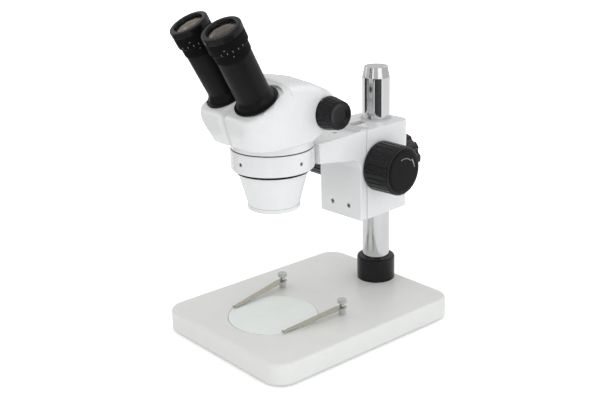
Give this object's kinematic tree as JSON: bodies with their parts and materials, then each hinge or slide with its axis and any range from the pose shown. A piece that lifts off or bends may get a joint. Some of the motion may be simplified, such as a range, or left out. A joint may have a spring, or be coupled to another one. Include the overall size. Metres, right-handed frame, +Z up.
{
  "type": "stereo zoom microscope",
  "caption": "Binocular stereo zoom microscope on a round pillar stand with a flat base, white stage plate, stage clips, focus block with side knobs and a tilted pair of eyepieces.",
  "frame": {"origin": "on the table, under the middle of the whole microscope", "axes": "+Z up; the user sits on the -Y side and the pillar stands on the +Y side; +X is the user's right"},
  "size_m": [0.205, 0.309, 0.3662],
  "materials": {
    "base_paint": "light grey, fine satin paint",
    "white_paint": "warm white, semi-gloss paint",
    "head_paint": "warm white, semi-gloss casing of the head",
    "frosted_white": "pale greenish white, matt ground face",
    "chrome": "polished plating",
    "steel": "plain steel",
    "spring_steel": "bright spring strip",
    "bronze": "sintered bearing bronze",
    "black_paint": "black, satin",
    "black_plastic": "black moulded plastic, satin",
    "rubber": "black rubber",
    "lens_glass": "coated optical glass"
  },
  "bodies": {
    "base": {"base_plate": "base_paint", "rubber_feet": "rubber", "stage_plate": "frosted_white", "clip_posts": "chrome", "clip_knobs": "chrome", "pillar": "chrome", "pillar_bolt": "steel", "pillar_collar": "black_paint", "collar_screw": "steel"},
    "clip_left": {"clip_arm_left": "spring_steel"},
    "clip_right": {"clip_arm_right": "spring_steel"},
    "pillar_bush": {"pillar_bush": "black_plastic"},
    "focus_block": {"block_housing": "white_paint", "shaft_bushes": "bronze"},
    "clamp": {"clamp_knob": "black_plastic", "clamp_screw": "steel"},
    "focus_drive": {"focus_shaft": "steel", "focus_pinion": "steel", "focus_knob_right": "black_plastic", "focus_knob_left": "black_plastic", "focus_cap_right": "black_plastic", "focus_cap_left": "black_plastic"},
    "carriage": {"carriage_arm": "white_paint", "slide_bar": "steel", "focus_rack": "steel", "plate_screws": "steel", "arm_screw": "steel", "ring_liner": "black_plastic", "ring_screws": "steel"},
    "head": {"head_base": "white_paint", "head_shell_right": "head_paint", "head_shell_left": "head_paint", "nose_cone": "white_paint", "nose_ring": "white_paint", "objective_cell": "black_paint", "objective_lenses": "lens_glass", "zoom_bushes": "bronze"},
    "zoom_drive": {"zoom_shaft": "steel", "zoom_knob_right": "black_plastic", "zoom_knob_left": "black_plastic"},
    "tube_right": {"tube_right": "black_paint"},
    "tube_left": {"tube_left": "black_paint"},
    "eyepiece_right": {"diopter_ring_right": "black_paint", "eyepiece_barrel_right": "black_paint", "eyecup_right": "rubber", "eye_lens_right": "lens_glass"},
    "eyepiece_left": {"diopter_ring_left": "black_paint", "eyepiece_barrel_left": "black_paint", "eyecup_left": "rubber", "eye_lens_left": "lens_glass"}
  },
  "joints": [
    {"name": "pillar_slide", "type": "slide", "parent": "base", "child": "pillar_bush", "axis": [0, 0, 1], "range_m": [-0.06, 0.045]},
    {"name": "block_swing", "type": "hinge", "parent": "pillar_bush", "child": "focus_block", "pos_m": [0, 0.1023, 0.2221], "axis": [0, 0, 1], "continuous": true},
    {"name": "clamp_turn", "type": "hinge", "parent": "focus_block", "child": "clamp", "pos_m": [-0.0013, 0.12626, 0.1684], "axis": [-0.0541, 0.9985, 0], "range_deg": [0, 360]},
    {"name": "focus_slide", "type": "slide", "parent": "focus_block", "child": "carriage", "axis": [0, 0, 1], "range_m": [-0.022, 0.022]},
    {"name": "focus_turn", "type": "hinge", "parent": "focus_block", "child": "focus_drive", "pos_m": [0.00157, 0.07334, 0.1781], "axis": [0.9985, 0.0541, 0], "range_deg": [-142, 142]},
    {"name": "head_turn", "type": "hinge", "parent": "carriage", "child": "head", "pos_m": [0.00873, -0.05886, 0.2222], "axis": [0, 0, 1], "continuous": true},
    {"name": "zoom_turn", "type": "hinge", "parent": "head", "child": "zoom_drive", "pos_m": [0.00948, -0.01787, 0.2583], "axis": [0.9998, -0.0183, 0], "range_deg": [-150, 120]},
    {"name": "pupil_right", "type": "hinge", "parent": "head", "child": "tube_right", "pos_m": [0.02073, -0.05908, 0.2808], "axis": [0, 0, 1], "range_deg": [0, 7.3]},
    {"name": "pupil_left", "type": "hinge", "parent": "head", "child": "tube_left", "pos_m": [-0.00327, -0.05864, 0.2808], "axis": [0, 0, 1], "range_deg": [-7.3, 0]},
    {"name": "diopter_right", "type": "hinge", "parent": "tube_right", "child": "eyepiece_right", "pos_m": [0.03418, -0.12466, 0.33409], "axis": [0.0307, -0.4698, 0.8823], "range_deg": [-60, 60]},
    {"name": "diopter_left", "type": "hinge", "parent": "tube_left", "child": "eyepiece_left", "pos_m": [-0.01912, -0.12368, 0.33409], "axis": [-0.0479, -0.4683, 0.8823], "range_deg": [-60, 60]},
    {"name": "clip_turn_right", "type": "hinge", "parent": "base", "child": "clip_right", "pos_m": [0.0517, -0.0017, 0.0336], "axis": [0, 0, 1], "range_deg": [-20, 100]},
    {"name": "clip_turn_left", "type": "hinge", "parent": "base", "child": "clip_left", "pos_m": [-0.0517, -0.0017, 0.0336], "axis": [0, 0, 1], "range_deg": [-100, 20]}
  ],
  "couplings": [
    {"joint": "focus_turn", "follows": "focus_slide", "rad_per_m": -111.11},
    {"joint": "pupil_left", "follows": "pupil_right", "ratio": -1}
  ]
}
